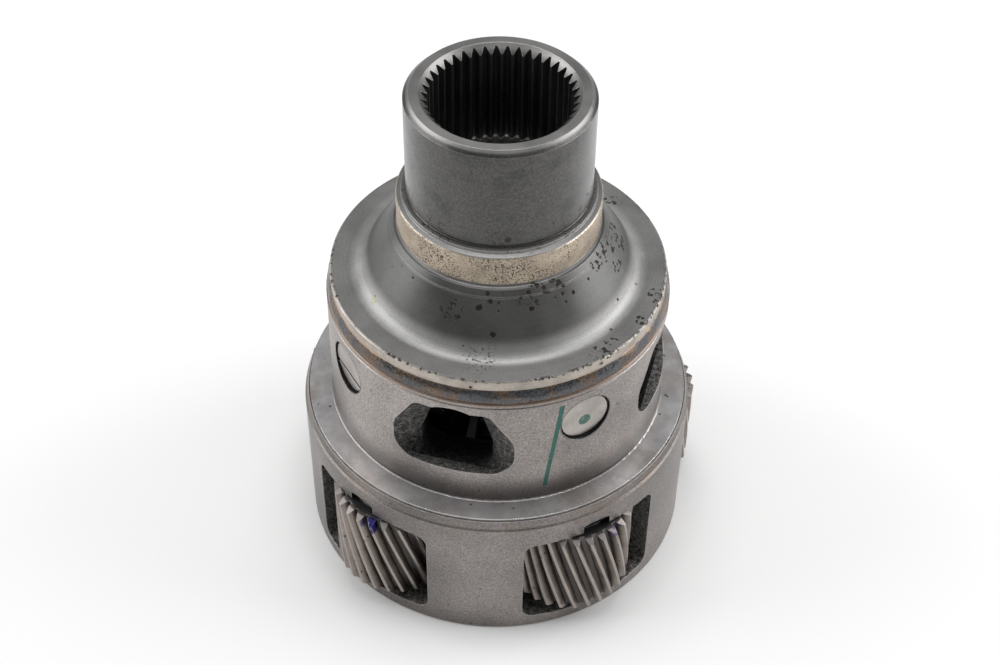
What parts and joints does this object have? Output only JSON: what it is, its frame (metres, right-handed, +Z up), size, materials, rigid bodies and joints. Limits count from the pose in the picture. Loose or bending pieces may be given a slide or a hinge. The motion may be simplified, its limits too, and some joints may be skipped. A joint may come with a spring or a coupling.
{
  "type": "planetary final drive with bevel differential",
  "caption": "Round planet carrier with helical planets, a bevel differential in the case above it, and an internally splined output tube on a welded cover.",
  "frame": {"origin": "on the main axis at the lower face of the planet carrier", "axes": "+Z up the main axis towards the mouth of the splined tube, -Y through the front window of the differential case"},
  "size_m": [0.1649, 0.1649, 0.2145],
  "materials": {
    "case_casting": "machined and cast grey, warm matt, oiled",
    "turned_steel": "satin turned dark steel with rust specks",
    "weld_metal": "weld bead with heat tint",
    "ground_pin_steel": "ground",
    "spring_steel": "black oxide",
    "bevel_gear_steel": "hardened, oiled",
    "planet_gear_steel": "hardened warm grey, polished flanks",
    "bearing_steel": "ground rollers",
    "washer_steel": "ground",
    "bronze": "plain"
  },
  "bodies": {
    "carrier": {"carrier_case": "case_casting", "cover_tube": "turned_steel", "weld_bead": "weld_metal", "cross_pin_long": "ground_pin_steel", "cross_pin_short_front": "ground_pin_steel", "cross_pin_short_rear": "ground_pin_steel", "cross_pin_roll_pins": "spring_steel", "pinion_thrust_washer_1": "washer_steel", "pinion_thrust_washer_2": "washer_steel", "pinion_thrust_washer_3": "washer_steel", "pinion_thrust_washer_4": "washer_steel", "side_washer_upper": "washer_steel", "side_washer_lower": "washer_steel", "planet_pin_1": "ground_pin_steel", "planet_steel_washers_1": "washer_steel", "planet_bronze_washers_1": "bronze", "planet_pin_2": "ground_pin_steel", "planet_steel_washers_2": "washer_steel", "planet_bronze_washers_2": "bronze", "planet_pin_3": "ground_pin_steel", "planet_steel_washers_3": "washer_steel", "planet_bronze_washers_3": "bronze", "planet_pin_4": "ground_pin_steel", "planet_steel_washers_4": "washer_steel", "planet_bronze_washers_4": "bronze", "planet_pin_5": "ground_pin_steel", "planet_steel_washers_5": "washer_steel", "planet_bronze_washers_5": "bronze"},
    "planet_1": {"planet_gear_1": "planet_gear_steel"},
    "needle_set_1": {"planet_needles_1": "bearing_steel"},
    "planet_2": {"planet_gear_2": "planet_gear_steel"},
    "needle_set_2": {"planet_needles_2": "bearing_steel"},
    "planet_3": {"planet_gear_3": "planet_gear_steel"},
    "needle_set_3": {"planet_needles_3": "bearing_steel"},
    "planet_4": {"planet_gear_4": "planet_gear_steel"},
    "needle_set_4": {"planet_needles_4": "bearing_steel"},
    "planet_5": {"planet_gear_5": "planet_gear_steel"},
    "needle_set_5": {"planet_needles_5": "bearing_steel"},
    "upper_side_gear": {"side_gear_upper": "bevel_gear_steel"},
    "lower_side_gear": {"side_gear_lower": "bevel_gear_steel"},
    "pinion_1": {"bevel_pinion_1": "bevel_gear_steel"},
    "pinion_2": {"bevel_pinion_2": "bevel_gear_steel"},
    "pinion_3": {"bevel_pinion_3": "bevel_gear_steel"},
    "pinion_4": {"bevel_pinion_4": "bevel_gear_steel"}
  },
  "joints": [
    {"name": "planet_1_spin", "type": "hinge", "parent": "carrier", "child": "planet_1", "pos_m": [0.04282, -0.04282, 0.0302], "axis": [0, 0, 1], "continuous": true},
    {"name": "needle_set_1_roll", "type": "hinge", "parent": "carrier", "child": "needle_set_1", "pos_m": [0.04282, -0.04282, 0.0302], "axis": [0, 0, 1], "continuous": true},
    {"name": "planet_2_spin", "type": "hinge", "parent": "carrier", "child": "planet_2", "pos_m": [0.05396, 0.02749, 0.0302], "axis": [0, 0, 1], "continuous": true},
    {"name": "needle_set_2_roll", "type": "hinge", "parent": "carrier", "child": "needle_set_2", "pos_m": [0.05396, 0.02749, 0.0302], "axis": [0, 0, 1], "continuous": true},
    {"name": "planet_3_spin", "type": "hinge", "parent": "carrier", "child": "planet_3", "pos_m": [-0.00947, 0.05981, 0.0302], "axis": [0, 0, 1], "continuous": true},
    {"name": "needle_set_3_roll", "type": "hinge", "parent": "carrier", "child": "needle_set_3", "pos_m": [-0.00947, 0.05981, 0.0302], "axis": [0, 0, 1], "continuous": true},
    {"name": "planet_4_spin", "type": "hinge", "parent": "carrier", "child": "planet_4", "pos_m": [-0.05981, 0.00947, 0.0302], "axis": [0, 0, 1], "continuous": true},
    {"name": "needle_set_4_roll", "type": "hinge", "parent": "carrier", "child": "needle_set_4", "pos_m": [-0.05981, 0.00947, 0.0302], "axis": [0, 0, 1], "continuous": true},
    {"name": "planet_5_spin", "type": "hinge", "parent": "carrier", "child": "planet_5", "pos_m": [-0.02749, -0.05396, 0.0302], "axis": [0, 0, 1], "continuous": true},
    {"name": "needle_set_5_roll", "type": "hinge", "parent": "carrier", "child": "needle_set_5", "pos_m": [-0.02749, -0.05396, 0.0302], "axis": [0, 0, 1], "continuous": true},
    {"name": "upper_side_gear_spin", "type": "hinge", "parent": "carrier", "child": "upper_side_gear", "pos_m": [0, 0, 0.1056], "axis": [0, 0, 1], "continuous": true},
    {"name": "lower_side_gear_spin", "type": "hinge", "parent": "carrier", "child": "lower_side_gear", "pos_m": [0, 0, 0.1056], "axis": [0, 0, 1], "continuous": true},
    {"name": "pinion_1_spin", "type": "hinge", "parent": "carrier", "child": "pinion_1", "pos_m": [0, 0, 0.1056], "axis": [0.7071, -0.7071, 0], "continuous": true},
    {"name": "pinion_2_spin", "type": "hinge", "parent": "carrier", "child": "pinion_2", "pos_m": [0, 0, 0.1056], "axis": [0.7071, 0.7071, 0], "continuous": true},
    {"name": "pinion_3_spin", "type": "hinge", "parent": "carrier", "child": "pinion_3", "pos_m": [0, 0, 0.1056], "axis": [-0.7071, 0.7071, 0], "continuous": true},
    {"name": "pinion_4_spin", "type": "hinge", "parent": "carrier", "child": "pinion_4", "pos_m": [0, 0, 0.1056], "axis": [-0.7071, -0.7071, 0], "continuous": true}
  ],
  "couplings": [
    {"joint": "needle_set_1_roll", "follows": "planet_1_spin", "ratio": 0.57606},
    {"joint": "needle_set_2_roll", "follows": "planet_2_spin", "ratio": 0.57606},
    {"joint": "needle_set_3_roll", "follows": "planet_3_spin", "ratio": 0.57606},
    {"joint": "needle_set_4_roll", "follows": "planet_4_spin", "ratio": 0.57606},
    {"joint": "needle_set_5_roll", "follows": "planet_5_spin", "ratio": 0.57606},
    {"joint": "lower_side_gear_spin", "follows": "upper_side_gear_spin", "ratio": -1},
    {"joint": "pinion_1_spin", "follows": "upper_side_gear_spin", "ratio": -1.6},
    {"joint": "pinion_2_spin", "follows": "upper_side_gear_spin", "ratio": -1.6},
    {"joint": "pinion_3_spin", "follows": "upper_side_gear_spin", "ratio": -1.6},
    {"joint": "pinion_4_spin", "follows": "upper_side_gear_spin", "ratio": -1.6}
  ]
}
